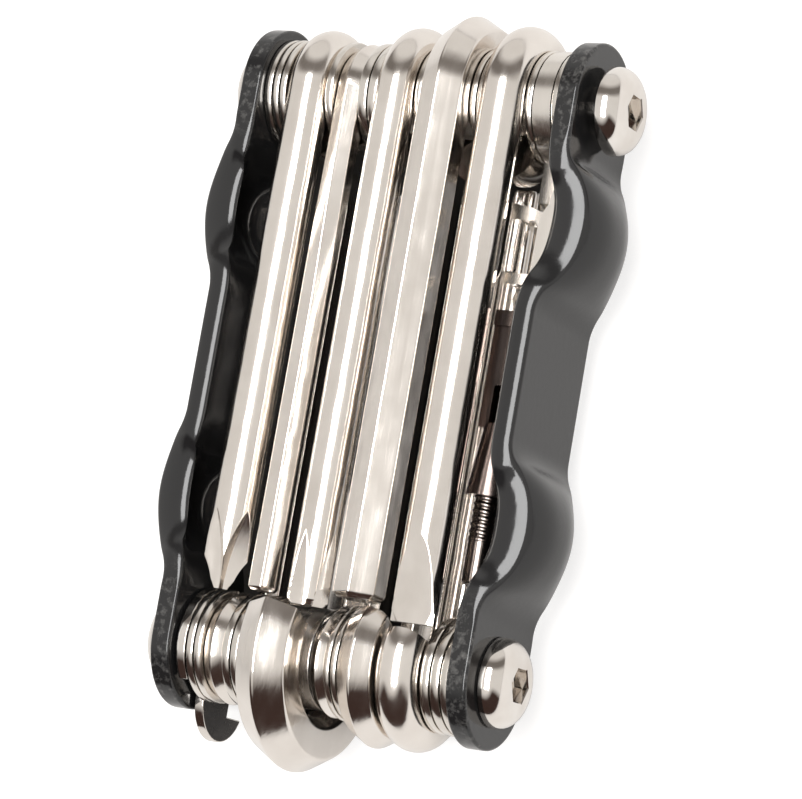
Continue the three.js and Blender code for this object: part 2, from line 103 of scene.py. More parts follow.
def remap(nodes, links, value, low, high, from_low=0.3, from_high=0.7):
    """The value's middle range spread between low and high."""
    node = nodes.new("ShaderNodeMapRange")
    node.inputs["From Min"].default_value = from_low
    node.inputs["From Max"].default_value = from_high
    node.inputs["To Min"].default_value = low
    node.inputs["To Max"].default_value = high
    links.new(value, node.inputs["Value"])
    return node.outputs["Result"]


def bump(nodes, links, height, distance, normal=None):
    node = nodes.new("ShaderNodeBump")
    node.inputs["Distance"].default_value = distance
    links.new(height, node.inputs["Height"])
    if normal is not None:
        links.new(normal, node.inputs["Normal"])
    return node.outputs["Normal"]


def multiply(nodes, links, first, second):
    node = nodes.new("ShaderNodeMath")
    node.operation = "MULTIPLY"
    links.new(first, node.inputs[0])
    links.new(second, node.inputs[1])
    return node.outputs["Value"]


def colour_mix(nodes, links, factor, first, second):
    """first where the factor is 0 and second where it is 1; each is a colour or a socket."""
    node = nodes.new("ShaderNodeMix")
    node.data_type = "RGBA"
    for name, colour in (("A", first), ("B", second)):
        if isinstance(colour, tuple):
            node.inputs[name].default_value = colour
        else:
            links.new(colour, node.inputs[name])
    links.new(factor, node.inputs["Factor"])
    return node.outputs["Result"]


def metal(name, colour, dull_colour, roughness, streak_stretch, streak_depth, ripple_depth):
    """Bright metal: broad ripples in the plating, fine streaks from polishing, uneven gloss."""
    material, nodes, links, shader = new_material(name)
    plain = stretched_coordinates(nodes, links, EVEN)
    streaks = stretched_coordinates(nodes, links, streak_stretch)
    shader.inputs["Metallic"].default_value = 1.0
    tarnish = remap(nodes, links, noise(nodes, links, plain, scale=190), low=0, high=1)
    mixed = colour_mix(nodes, links, tarnish, colour, dull_colour)
    links.new(mixed, shader.inputs["Base Color"])
    glossiest = roughness * 0.75
    dullest = roughness * 1.35
    gloss = noise(nodes, links, streaks, scale=900)
    links.new(remap(nodes, links, gloss, glossiest, dullest), shader.inputs["Roughness"])
    plating = noise(nodes, links, plain, scale=260, detail=1.0)
    ripples = bump(nodes, links, plating, ripple_depth)
    polishing = noise(nodes, links, streaks, scale=1500)
    fine = bump(nodes, links, polishing, streak_depth, ripples)
    links.new(fine, shader.inputs["Normal"])
    return material


def chain_tool_steel(name):
    """Satin plate on the lug and the cradle, with painted shade that darkens the spine and the
    boss.
    """
    pale = (0.8, 0.76, 0.71, 1)
    # Painted shade: this dark colour is laid on the spine and the boss, below the cradle.
    dark = (0.2, 0.16, 0.145, 1)
    material = metal(
        name,
        colour=pale,
        dull_colour=pale,
        roughness=0.2,
        streak_stretch=ALONG_Y,
        streak_depth=0.006 * MM,
        ripple_depth=0.05 * MM,
    )
    nodes = material.node_tree.nodes
    links = material.node_tree.links
    position = nodes.new("ShaderNodeTexCoord")
    separate = nodes.new("ShaderNodeSeparateXYZ")
    links.new(position.outputs["Object"], separate.inputs["Vector"])
    height = separate.outputs["Y"]
    upper = remap(nodes, links, height, 0, 1, CRADLE_FOOT_Y - SHADE_FADE_LENGTH, CRADLE_FOOT_Y)
    shader = nodes["Principled BSDF"]
    links.new(colour_mix(nodes, links, upper, dark, pale), shader.inputs["Base Color"])
    return material


def black_paint(name):
    """Gloss black over steel: some orange peel, dust in the gloss and chips at the end rims."""
    paint = (0.012, 0.012, 0.0125, 1)
    bare = (0.13, 0.127, 0.122, 1)
    material, nodes, links, shader = new_material(name)
    plain = stretched_coordinates(nodes, links, EVEN)
    speckle = noise(nodes, links, plain, scale=1100, detail=6.0, roughness=0.7)
    chips = remap(nodes, links, speckle, low=0, high=1, from_low=0.5, from_high=0.78)
    worn = nodes.new("ShaderNodeAttribute")
    worn.attribute_name = "wear"
    chipped = multiply(nodes, links, chips, worn.outputs["Fac"])
    links.new(colour_mix(nodes, links, chipped, paint, bare), shader.inputs["Base Color"])
    dust = noise(nodes, links, plain, scale=420)
    links.new(remap(nodes, links, dust, low=0.09, high=0.16), shader.inputs["Roughness"])
    orange_peel = noise(nodes, links, plain, scale=1300, detail=2.0)
    links.new(bump(nodes, links, orange_peel, distance=0.01 * MM), shader.inputs["Normal"])
    shader.inputs["IOR"].default_value = 1.52
    return material


NICKEL = metal(
    "satin_nickel",
    colour=(0.86, 0.815, 0.765, 1),
    dull_colour=(0.77, 0.72, 0.67, 1),
    roughness=0.14,
    streak_stretch=ALONG_Y,
    streak_depth=0.01 * MM,
    ripple_depth=0.09 * MM,
)
WASHER_NICKEL = metal(
    "washer_nickel",
    colour=(0.84, 0.8, 0.75, 1),
    dull_colour=(0.7, 0.66, 0.61, 1),
    roughness=0.16,
    streak_stretch=ROUND_X,
    streak_depth=0.003 * MM,
    ripple_depth=0.02 * MM,
)
BUSH_STEEL = metal(
    "turned_steel",
    colour=(0.62, 0.59, 0.56, 1),
    dull_colour=(0.5, 0.47, 0.44, 1),
    roughness=0.26,
    streak_stretch=ROUND_X,
    streak_depth=0.005 * MM,
    ripple_depth=0.01 * MM,
)
POLISHED = metal(
    "polished_steel",
    colour=(0.87, 0.84, 0.8, 1),
    dull_colour=(0.74, 0.69, 0.64, 1),
    roughness=0.1,
    streak_stretch=EVEN,
    streak_depth=0.002 * MM,
    ripple_depth=0.02 * MM,
)
# Chrome coloured dark as a painted shade, for the press screw and the press pin, which lie in shade
# in the chain tool.
PAINTED_SHADE_CHROME = metal(
    "dark_chrome",
    colour=(0.3, 0.26, 0.24, 1),
    dull_colour=(0.2, 0.17, 0.155, 1),
    roughness=0.14,
    streak_stretch=ALONG_Y,
    streak_depth=0.004 * MM,
    ripple_depth=0.06 * MM,
)
DARK_STEEL = metal(
    "dark_steel",
    colour=(0.07, 0.064, 0.06, 1),
    dull_colour=(0.035, 0.032, 0.03, 1),
    roughness=0.24,
    streak_stretch=EVEN,
    streak_depth=0.006 * MM,
    ripple_depth=0.04 * MM,
)
CHAIN_TOOL_STEEL = chain_tool_steel("chain_tool_steel")
BLACK_PAINT = black_paint("gloss_black_paint")


# ---------------------------------------------------------------- mesh building

def add_object(name, data):
    """An object in the scene's own collection."""
    made = bpy.data.objects.new(name, data)
    bpy.context.scene.collection.objects.link(made)
    return made


def shade_smooth(mesh, sharp_angle):
    """Smooth shading, with sharp edges where faces meet at more than an angle in degrees."""
    mesh.polygons.foreach_set("use_smooth", [True] * len(mesh.polygons))
    mesh.set_sharp_from_angle(angle=radians(sharp_angle))


def finish_piece(piece, node, body, keep_sharp):
    """Evens the shading of a piece that rides on a body and stands for a CAD node."""
    weighted = piece.modifiers.new("even_normals", "WEIGHTED_NORMAL")
    weighted.keep_sharp = keep_sharp
    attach(piece, body)
    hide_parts(node)


def mesh_piece(node, points, faces, material, body, sharp_angle=40):
    """A smooth-shaded piece in the place of a CAD node."""
    mesh = bpy.data.meshes.new(node + "_fine")
    mesh.from_pydata([tuple(point) for point in points], [], faces)
    mesh.validate()
    shade_smooth(mesh, sharp_angle)
    mesh.materials.append(material)
    piece = add_object(node + "_fine", mesh)
    finish_piece(piece, node, body, keep_sharp=True)
    return piece


def loft(rings, closed=False):
    """Faces that join rings of equal point counts, with the two ends capped unless closed."""
    count = len(rings[0])
    points = [point for ring in rings for point in ring]
    faces = []
    last = len(rings) if closed else len(rings) - 1
    for ring in range(last):
        following = (ring + 1) % len(rings)
        for index in range(count):
            beside = (index + 1) % count
            faces.append((
                ring * count + index,
                ring * count + beside,
                following * count + beside,
                following * count + index,
            ))
    if not closed:
        faces.append(tuple(reversed(range(count))))
        faces.append(tuple(range((len(rings) - 1) * count, len(rings) * count)))
    return points, faces


# ---------------------------------------------------------------- bent keys and drivers

ARC_STEP = radians(3)
TWIST_START = 5.6 * MM  # from the axle to where a turned shank starts to come round
TWIST_END = 26 * MM  # from the axle to where it is all the way round
TWIST_STEPS = 24
FLUTED_COUNT = 240  # points round a fluted or ground tip
STAR_COUNT = 96  # points round the star driver


def rounded_hexagon(across_flats, fillet):
    """Corner points of a hexagon with rounded corners, two of them at the front and back."""
    corner_radius = (across_flats / 2 - fillet) / cos(radians(30))
    points = []
    for corner in range(6):
        direction = radians(90 + 60 * corner)
        for turn in (-30, -15, 0, 15, 30):
            angle = direction + radians(turn)
            points.append((
                corner_radius * cos(direction) + fillet * cos(angle),
                corner_radius * sin(direction) + fillet * sin(angle),
            ))
    return points


def smooth_step(value, low, high):
    """0 below low and 1 above high, with a smooth rise between them."""
    share = min(1.0, max(0.0, (value - low) / (high - low)))
    return share * share * (3 - 2 * share)


def turned(points, angle):
    """The same points, turned about the middle of the section."""
    return [(u * cos(angle) - v * sin(angle), u * sin(angle) + v * cos(angle)) for u, v in points]


def clipped(points, radius):
    """The same points, with those outside a circle brought in to it."""
    result = []
    for u, v in points:
        scale = min(1.0, radius / hypot(u, v))
        result.append((u * scale, v * scale))
    return result


def polar_section(radius_at, count):
    """Points round a section whose radius is given at each angle."""
    angles = [2 * pi * index / count for index in range(count)]
    return [(radius_at(angle) * cos(angle), radius_at(angle) * sin(angle)) for angle in angles]


def hex_section(size):
    """Sections of a hexagonal key: its corners are bevelled over the first part of the tip."""
    full = rounded_hexagon(size, fillet=size * 0.085)
    bevel = size * 0.17
    tip_radius = size * 0.45

    def section(from_tip):
        return clipped(full, tip_radius + min(from_tip, bevel))

    stations = [0, bevel * 0.33, bevel * 0.66, bevel]
    return section, stations


def cross_section(size, tip_share, cone_share, web_share, wing_turn, wall_slope):
    """Sections of a cross-head driver: four flutes run out up a round shank with a coned tip.
    The shares are the tip's radius, the cone's length and the web's radius over the size. A
    wall slope of 1 makes each flute a straight-sided V of 90 degrees, and less makes it wider."""
    flute_length = size * 1.8
    cone_length = size * cone_share
    narrowest_opening = 0.05
    steps = 72

    def section(from_tip):
        cone = size * (tip_share + (0.5 - tip_share) * min(1.0, from_tip / cone_length))
        web = size * (web_share + (0.5 - web_share) * min(1.0, from_tip / flute_length) ** 1.8)

        def radius_at(angle):
            from_flute = (angle - wing_turn + pi / 4) % (pi / 2) - pi / 4
            opening = cos(from_flute) - abs(sin(from_flute)) * wall_slope
            return min(cone, web / max(opening, narrowest_opening))

        return polar_section(radius_at, FLUTED_COUNT)

    stations = [flute_length * step / steps for step in range(steps + 2)]
    return section, stations


def pointed_cross_section(size):
    """A cross-head driver with a coned tip and wide flutes."""
    return cross_section(
        size,
        tip_share=0.15,
        cone_share=0.62,
        web_share=0.07,
        wing_turn=radians(22),
        wall_slope=0.6,
    )


def blunt_cross_section(size):
    """A cross-head driver whose tip is cut off square."""
    return cross_section(
        size,
        tip_share=0.4,
        cone_share=0.12,
        web_share=0.15,
        wing_turn=radians(8),
        wall_slope=0.96,
    )


def blade_section(size):
    """Sections of a slotted driver: two ground faces that end in a round shoulder."""
    blade_length = size * 1.85
    edge = size * 0.1
    face_turn = radians(4)
    steps = 60

    def section(from_tip):
        along = min(1.0, from_tip / blade_length)
        half_thickness = edge + (size / 2 - edge) * along

        def radius_at(angle):
            across = abs(sin(angle + face_turn))
            return min(size / 2, half_thickness / max(across, 1e-6))

        return polar_section(radius_at, FLUTED_COUNT)

    stations = [blade_length * sqrt(step / steps) for step in range(steps + 2)]
    return section, stations


def star_section(size):
    """Sections of a star driver: six round lobes for the length of the tip, then a round shank."""
    star_length = size * 1.85
    shoulder = size * 0.22
    chamfer = size * 0.08
    chamfer_depth = size * 0.04
    lobe_middle = size * 0.395
    lobe_height = size * 0.055
    lobes = 6

    def section(from_tip):
        blend = min(1.0, max(0.0, (from_tip - star_length) / shoulder))
        trim = chamfer_depth * (1 - min(1.0, from_tip / chamfer))

        def radius_at(angle):
            lobed = lobe_middle + lobe_height * cos(lobes * angle) - trim
            return lobed + (size / 2 - lobed) * blend

        return polar_section(radius_at, STAR_COUNT)

    stations = [0, chamfer, star_length, star_length + shoulder / 2, star_length + shoulder]
    return section, stations


def bar_rings(section, stations, length, bend_radius, wrap, shank_turn, place):
    """Section rings from the tip, up the shank and round the eye. place turns (x, y, z) about
    the eye's centre into a point of the model. A turned shank is set in, so that its right flank
    stays in line with the eye."""
    eye = section(length)
    twist_step = (TWIST_END - TWIST_START) / TWIST_STEPS
    twist = [length - TWIST_END + twist_step * step for step in range(TWIST_STEPS + 1)]
    shank = [station for station in stations if station < twist[0]] + twist + [length]
    rings = []
    for station in shank:
        turn = shank_turn * smooth_step(length - station, TWIST_START, TWIST_END)
        inset = max(u for u, v in eye) - max(u for u, v in turned(eye, turn))
        rings.append([
            place(u + inset, station - length, bend_radius + v)
            for u, v in turned(section(station), turn)
        ])
    steps = round(wrap / ARC_STEP)
    for step in range(1, steps + 1):
        angle = wrap * step / steps
        rings.append([
            place(u, (bend_radius + v) * sin(angle), (bend_radius + v) * cos(angle))
            for u, v in eye
        ])
    rings.append(shrunk(rings[-1], scale=0.92))
    return rings


def shrunk(ring, scale):
    """The ring drawn in towards its middle, as an inner ring on a flat end."""
    middle = sum((Vector(point) for point in ring), Vector()) / len(ring)
    return [middle + (Vector(point) - middle) * scale for point in ring]


SECTIONS = {
    "hex": hex_section,
    "cross": pointed_cross_section,
    "blunt_cross": blunt_cross_section,
    "blade": blade_section,
    "star": star_section,
}

# Each tool's section and how far its eye goes round the axle, in degrees.
UPPER_TOOLS = {
    "cross_driver_large": ("cross", 285),
    "hex_3mm_key": ("hex", 285),
    "cross_driver_small": ("blunt_cross", 285),
    "hex_5mm_key": ("hex", 240),
    "slotted_driver": ("blade", 285),
}
LOWER_TOOLS = {
    "hex_2_5mm_key": ("hex", 285),
    "hex_6mm_key": ("hex", 203),
    "hex_2mm_key": ("hex", 285),
    "hex_4mm_key": ("hex", 222),
    "star_driver": ("star", 207),
}

# The CAD tips stop short of the circles that the back layer's hooks sweep. The real tips reach
# this much further.
FULL_REACH = {
    "cross_driver_small": 6.5 * MM,
    "hex_5mm_key": 1.45 * MM,
    "slotted_driver": 2.05 * MM,
}

# How far a shank is turned about its own length against its eye, in degrees.
SHANK_TURNS = {"hex_3mm_key": -18}


def add_tool(node, kind, wrap, axle, side):
    """A bent key or driver. side is 1 for the front layer and -1 for the back layer."""
    low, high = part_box(node)
    axle_y, axle_z = axle
    size = high.x - low.x
    middle_x = (low.x + high.x) / 2
    outer_radius = high.z - axle_z if side > 0 else axle_z - low.z
    length = axle_y - low.y if side > 0 else high.y - axle_y
    length += FULL_REACH.get(node, 0)
    depth = size / cos(radians(30)) if kind == "hex" else size
    section, stations = SECTIONS[kind](size)

    def place(x, y, z):
        return middle_x + x * side, axle_y + y * side, axle_z + z * side

    shank_turn = radians(SHANK_TURNS.get(node, 0))
    bend_radius = outer_radius - depth / 2
    rings = bar_rings(section, stations, length, bend_radius, radians(wrap), shank_turn, place)
    points, faces = loft(rings)
    mesh_piece(node, points, faces, NICKEL, node)


for node, (kind, wrap) in UPPER_TOOLS.items():
    add_tool(node, kind, wrap, UPPER_AXLE, 1)
for node, (kind, wrap) in LOWER_TOOLS.items():
    add_tool(node, kind, wrap, LOWER_AXLE, -1)


# ---------------------------------------------------------------- washers and bushes

ROUND_COUNT = 96  # points round a washer, a bush or an axle
BORE_RADIUS = 2.6 * MM
WASHER_EDGE = 0.22 * MM
THIN_EDGE_SHARE = 0.3  # of the thickness, where that is less than the washers' edge
CORNER_SHARE = 0.3  # how far into a rounded corner its middle lies


def round_ring(radius, x, axle):
    """Points of a circle round an axle."""
    axle_y, axle_z = axle
    angles = [2 * pi * index / ROUND_COUNT for index in range(ROUND_COUNT)]
    return [(x, axle_y + radius * cos(angle), axle_z + radius * sin(angle)) for angle in angles]


def add_washer(node, axle, material):
    """A flat ring with rounded edges."""
    low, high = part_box(node)
    outer = (high.y - low.y) / 2
    edge = min(WASHER_EDGE, (high.x - low.x) * THIN_EDGE_SHARE)
    corner = edge * CORNER_SHARE
    profile = [
        (BORE_RADIUS, low.x),
        (outer - edge, low.x),
        (outer - corner, low.x + corner),
        (outer, low.x + edge),
        (outer, high.x - edge),
        (outer - corner, high.x - corner),
        (outer - edge, high.x),
        (BORE_RADIUS, high.x),
    ]
    points, faces = loft([round_ring(radius, x, axle) for radius, x in profile], closed=True)
    mesh_piece(node, points, faces, material, "frame")


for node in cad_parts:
    if "washer" in node:
        axle = UPPER_AXLE if node.startswith("upper") else LOWER_AXLE
        add_washer(node, axle, WASHER_NICKEL)
    elif node.endswith("bush"):
        axle = UPPER_AXLE if node.removesuffix("_bush") in UPPER_TOOLS else LOWER_AXLE
        add_washer(node, axle, BUSH_STEEL)


# ---------------------------------------------------------------- side plates

SHEET = 2.4 * MM
PAD_RADIUS = 7.3 * MM  # the round ends, also half the plate's depth there
WAIST_HALF_DEPTH = 7.7 * MM
BULGE_OFFSETS = (-14.45 * MM, 15.65 * MM)  # from the upper and the lower axle to a bulge's middle
BULGE_HEIGHT = 4.5 * MM
BULGE_RADIUS = 9 * MM
BULGE_FILLET = 3.5 * MM
FOOT_LENGTH = 2.5 * MM  # how far the change from a flat pad to the formed sheet goes into a bulge
DOME_DROP = 1.9 * MM  # how much lower a bulge is at its edges than at its middle
DOME_POWER = 2.6
EDGE_RADIUS = 0.35 * MM
CROWN_FROM = 26  # degrees of slope where the rim's crown meets its corners
RIM_SWELL = 1.6 * MM  # how much wider the rim is at the middle of a bulge
SWELL_FROM = 1.2 * MM  # the swelling of the rim fades between these insets
SWELL_TO = 4 * MM
EDGE_DIP = 1.5 * MM  # how much lower the rim is at the middle of a bulge
UPPER_HALF_WIDTH = 20.65 * MM  # from the middle to the outer face of an upper pad
LOWER_HALF_WIDTH = 19.3 * MM
PLATE_SHARP_ANGLE = 32
WORN_RINGS = 11  # over the rim, from its outer corner

# Where the rings of a face lie, as shares of the way from its rim to its middle.
FACE_SHARES = (0.97, 0.88, 0.76, 0.64, 0.52, 0.4, 0.3, 0.2, 0.12, 0.06, 0.02)

UPPER_BULGE_Y = UPPER_AXLE[0] + BULGE_OFFSETS[0]
LOWER_BULGE_Y = LOWER_AXLE[0] + BULGE_OFFSETS[1]
CREST_CENTRE = BULGE_HEIGHT - BULGE_RADIUS
BULGE_REACH = sqrt((BULGE_RADIUS + BULGE_FILLET) ** 2 - (BULGE_FILLET - CREST_CENTRE) ** 2)
CREST_REACH = BULGE_REACH * BULGE_RADIUS / (BULGE_RADIUS + BULGE_FILLET)


def bulge_at(y):
    """How far the middle of the outer face stands out, on arcs that meet at the crest's ends."""
    distance = min(abs(y - UPPER_BULGE_Y), abs(y - LOWER_BULGE_Y))
    if distance > BULGE_REACH:
        return 0.0
    if distance < CREST_REACH:
        return CREST_CENTRE + sqrt(BULGE_RADIUS ** 2 - distance ** 2)
    return BULGE_FILLET - sqrt(BULGE_FILLET ** 2 - (distance - BULGE_REACH) ** 2)


def plate_line(y):
    """The outer face without its bulges: it steps outwards across each of them."""
    share = 0.0
    for middle in (LOWER_BULGE_Y, UPPER_BULGE_Y):
        share += min(1.0, max(0.0, (y - middle + BULGE_REACH) / (2 * BULGE_REACH))) / 2
    return LOWER_HALF_WIDTH + (UPPER_HALF_WIDTH - LOWER_HALF_WIDTH) * share


def between_pads(y):
    """0 on the end pads and 1 between them, where the sheet is formed."""
    lower_foot = LOWER_BULGE_Y - BULGE_REACH
    upper_foot = UPPER_BULGE_Y + BULGE_REACH
    above = smooth_step(y, lower_foot - FOOT_LENGTH / 2, lower_foot + FOOT_LENGTH)
    below = 1 - smooth_step(y, upper_foot - FOOT_LENGTH, upper_foot + FOOT_LENGTH / 2)
    return above * below


def half_depth(y):
    """Half the plate's depth: more at the waist, less at each bulge."""
    lower = smooth_step(y, LOWER_BULGE_Y - BULGE_REACH, LOWER_BULGE_Y + BULGE_REACH)
    upper = 1 - smooth_step(y, UPPER_BULGE_Y - BULGE_REACH, UPPER_BULGE_Y + BULGE_REACH)
    waist = PAD_RADIUS + (WAIST_HALF_DEPTH - PAD_RADIUS) * lower * upper
    return waist - EDGE_DIP * smooth_step(bulge_at(y), 0, BULGE_HEIGHT)


def outline_place(station, inset):
    """A point (y, z) of the plate's outline, drawn in by the inset."""
    kind, value = station
    if kind == "front":
        return value, half_depth(value) - inset
    if kind == "back":
        return value, inset - half_depth(value)
    radius = PAD_RADIUS - inset
    axle_y = UPPER_AXLE[0] if kind == "upper" else LOWER_AXLE[0]
    return axle_y + radius * sin(value), radius * cos(value)


def outline_stations():
    """Places round the outline: down the front edge, round the lower pad and back."""
    long_steps = 190
    end_steps = 56
    upper_y, lower_y = UPPER_AXLE[0], LOWER_AXLE[0]
    rows = [upper_y + (lower_y - upper_y) * step / long_steps for step in range(long_steps + 1)]
    stations = [("front", y) for y in rows]
    stations += [("lower", -pi * step / end_steps) for step in range(1, end_steps)]
    stations += [("back", y) for y in reversed(rows)]
    stations += [("upper", pi - pi * step / end_steps) for step in range(1, end_steps)]
    return stations, long_steps + 1


def plate_point(side, y, z, depth):
    """A point of the sheet, at a depth below its outer face."""
    def outer(at_y):
        across = min(1.0, abs(z) / half_depth(at_y))
        bulge = bulge_at(at_y)
        dome = DOME_DROP * across ** DOME_POWER * bulge / BULGE_HEIGHT
        return plate_line(at_y) + bulge - dome

    reach = 0.05 * MM
    slope = (outer(y + reach) - outer(y - reach)) / (2 * reach)
    length = hypot(1, slope)
    return side * (outer(y) - depth / length), y + depth * slope / length, z + UPPER_AXLE[1]


def pad_rim():
    """Insets and depths over the square rim of an end pad, with its two rounded corners."""
    corner = [radians(angle) for angle in (0, 12, 25, 38, 51, 64, 77, 90)]
    over = [(EDGE_RADIUS * (1 - sin(angle)), EDGE_RADIUS * (1 - cos(angle))) for angle in corner]
    under = [(inset, SHEET - depth) for inset, depth in reversed(over)]
    return over + under


def crowned_rim(thickness):
    """Insets and depths over the crowned rim between the pads. The angles are the rim's slope,
    from the outer face at 90 degrees, over the crown, to the inner face at -90."""
    corners = 2 * EDGE_RADIUS * (1 - sin(radians(CROWN_FROM)))
    crown_radius = (thickness - corners) / (2 * sin(radians(CROWN_FROM)))
    rise, depth = 0.0, 0.0
    points = [(rise, depth)]
    arcs = (
        (EDGE_RADIUS, (90, 68, 46, CROWN_FROM)),
        (crown_radius, (CROWN_FROM, 21, 16, 11, 4, -4, -11, -16, -21, -CROWN_FROM)),
        (EDGE_RADIUS, (-CROWN_FROM, -46, -68, -90)),
    )
    for radius, angles in arcs:
        for start, end in zip(angles, angles[1:]):
            rise += radius * (cos(radians(end)) - cos(radians(start)))
            depth += radius * (sin(radians(start)) - sin(radians(end)))
            points.append((rise, depth))
    top = max(rise for rise, _ in points)
    return [(top - rise, depth) for rise, depth in points]


def plate_section(station):
    """Insets and depths from the middle of the outer face round the rim to the inner face."""
    pad = station[0] in ("upper", "lower")
    y = UPPER_AXLE[0] if pad else station[1]
    softness = 0.0 if pad else between_pads(y)
    reach = PAD_RADIUS if pad else half_depth(y)
    swell = 0.0 if pad else RIM_SWELL * bulge_at(y) / BULGE_HEIGHT
    rim = []
    for square, crowned in zip(pad_rim(), crowned_rim(SHEET + swell)):
        rim.append([hard + (soft - hard) * softness for hard, soft in zip(square, crowned)])
    start, end = rim[0][0], rim[-1][0]
    outer_face = [(start + (reach - start) * share, 0.0) for share in FACE_SHARES]
    inner_face = []
    for share in reversed(FACE_SHARES):
        inset = end + (reach - end) * share
        remaining = 1 - smooth_step(inset, SWELL_FROM, SWELL_TO)
        inner_face.append((inset, SHEET + swell * remaining))
    return outer_face + rim + inner_face


def add_side_plate(node, side):
    """A formed sheet with bored end pads. side is 1 for the right plate and -1 for the left."""
    stations, row_count = outline_stations()
    rings = [[] for _ in plate_section(stations[0])]
    for station in stations:
        for ring, (inset, depth) in zip(rings, plate_section(station)):
            y, z = outline_place(station, inset)
            ring.append(plate_point(side, y, z, depth))
    points, faces = loft(rings)
    loft_caps = 2
    faces = faces[:-loft_caps]
    count = len(stations)
    for start in (0, (len(rings) - 1) * count):
        faces += strip_cap(start, count, row_count)
    piece = mesh_piece(
        node,
        points,
        faces,
        BLACK_PAINT,
        body="frame",
        sharp_angle=PLATE_SHARP_ANGLE,
    )
    add_wear(piece, stations)
    bore(piece, [UPPER_AXLE, LOWER_AXLE], BORE_RADIUS)


def strip_cap(start, count, row_count):
    """Faces that close the narrow slit inside the innermost ring."""
    last_front = row_count - 1
    back_start = last_front + (count - 2 * row_count) // 2 + 1
    faces = []
    for row in range(last_front):
        opposite = back_start + last_front - row
        faces.append((start + row, start + row + 1, start + opposite - 1, start + opposite))
    faces.append(tuple(start + index for index in range(last_front, back_start + 1)))
    ends = list(range(back_start + last_front, count)) + [0]
    faces.append(tuple(start + index for index in ends))
    return faces


def add_wear(piece, stations):
    """Marks the rim of the end pads, where the paint has rubbed off."""
    worn = piece.data.attributes.new("wear", "FLOAT", "POINT")
    first = len(FACE_SHARES) + 1
    for ring in range(first, first + WORN_RINGS):
        for index, (kind, value) in enumerate(stations):
            pad = kind in ("upper", "lower")
            strength = 1.0 if pad else 1 - between_pads(value)
            worn.data[ring * len(stations) + index].value = strength


def bore(piece, axles, radius):
    """Cuts round holes along X through a piece."""
    beyond = 30 * MM
    bpy.context.view_layer.update()
    for axle in axles:
        points, faces = loft([round_ring(radius, x, axle) for x in (-beyond, beyond)])
        mesh = bpy.data.meshes.new("bore_cutter")
        mesh.from_pydata(points, [], faces)
        cutter = add_object("bore_cutter", mesh)
        cut = piece.modifiers.new("bore", "BOOLEAN")
        cut.operation = "DIFFERENCE"
        cut.solver = "EXACT"
        cut.object = cutter
        graph = bpy.context.evaluated_depsgraph_get()
        cut_mesh = bpy.data.meshes.new_from_object(piece.evaluated_get(graph))
        piece.modifiers.remove(cut)
        old_mesh = piece.data
        piece.data = cut_mesh
        bpy.data.meshes.remove(old_mesh)
        bpy.data.objects.remove(cutter)
        bpy.data.meshes.remove(mesh)


# ---------------------------------------------------------------- pivots

HEAD_RADIUS = 4.85 * MM
HEAD_HEIGHT = 2.75 * MM
HEAD_FLAT_RADIUS = 2.5 * MM
HEAD_RIM = 0.55 * MM  # the height over the seat where the dome starts
HEAD_FOOT = 0.18 * MM  # the chamfer round the seat
SOCKET_ACROSS_FLATS = 3.5 * MM
SOCKET_DEPTH = 1.7 * MM
SOCKET_CHAMFER = 0.12 * MM
SOCKET_FILLET = 0.04 * MM
SOCKET_FLOOR_SHARE = 0.97
DRILL_POINT_DEPTH = 0.5 * MM
DRILL_POINT_RADIUS = 0.03 * MM
POST_RADIUS = 2.5 * MM
POST_CHAMFER = 0.15 * MM
TAPPED_RADIUS = 1.6 * MM
TAPPED_DEPTH = 14 * MM
SCREW_RADIUS = 1.45 * MM
SCREW_CHAMFER = 0.2 * MM


def hexagon_reach(angle):
    """How far a hexagon's side is from its middle, over the distance to the middle of a side."""
    from_flat = (angle + pi / 6) % (pi / 3) - pi / 6
    return 1 / cos(from_flat)


def hexagon_ring(across_flats, x, axle):
    """Points of a hexagon round an axle."""
    axle_y, axle_z = axle
    ring = []
    for index in range(ROUND_COUNT):
        angle = 2 * pi * index / ROUND_COUNT
        radius = across_flats / 2 * hexagon_reach(angle)
        ring.append((x, axle_y + radius * cos(angle), axle_z + radius * sin(angle)))
    return ring


def head_rings(top_x, outwards, axle):
    """Rings of a button head, from the bottom of its socket out over the dome to its seat."""
    seat_x = top_x - outwards * HEAD_HEIGHT
    bottom_x = top_x - outwards * SOCKET_DEPTH
    rings = [
        round_ring(DRILL_POINT_RADIUS, bottom_x - outwards * DRILL_POINT_DEPTH, axle),
        hexagon_ring(SOCKET_ACROSS_FLATS * SOCKET_FLOOR_SHARE, bottom_x, axle),
        hexagon_ring(SOCKET_ACROSS_FLATS, bottom_x + outwards * SOCKET_FILLET, axle),
        hexagon_ring(SOCKET_ACROSS_FLATS, top_x - outwards * SOCKET_CHAMFER, axle),
        hexagon_ring(SOCKET_ACROSS_FLATS + 2 * SOCKET_CHAMFER, top_x, axle),
    ]
    steps = 12
    for step in range(steps + 1):
        angle = pi / 2 * step / steps
        radius = HEAD_FLAT_RADIUS + (HEAD_RADIUS - HEAD_FLAT_RADIUS) * sin(angle)
        height = HEAD_RIM + (HEAD_HEIGHT - HEAD_RIM) * cos(angle)
        rings.append(round_ring(radius, seat_x + outwards * height, axle))
    rings.append(round_ring(HEAD_RADIUS, seat_x + outwards * HEAD_FOOT, axle))
    rings.append(round_ring(HEAD_RADIUS - HEAD_FOOT, seat_x, axle))
    return rings


def add_pivot_post(node, axle):
    """A headed post with its head at the left and a tapped hole at its right end."""
    low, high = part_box(node)
    rings = head_rings(low.x, -1, axle)
    rings += [
        round_ring(POST_RADIUS, low.x + HEAD_HEIGHT, axle),
        round_ring(POST_RADIUS, high.x - POST_CHAMFER, axle),
        round_ring(POST_RADIUS - POST_CHAMFER, high.x, axle),
        round_ring(TAPPED_RADIUS, high.x, axle),
        round_ring(TAPPED_RADIUS, high.x - TAPPED_DEPTH, axle),
    ]
    points, faces = loft(rings)
    mesh_piece(node, points, faces, POLISHED, "frame")


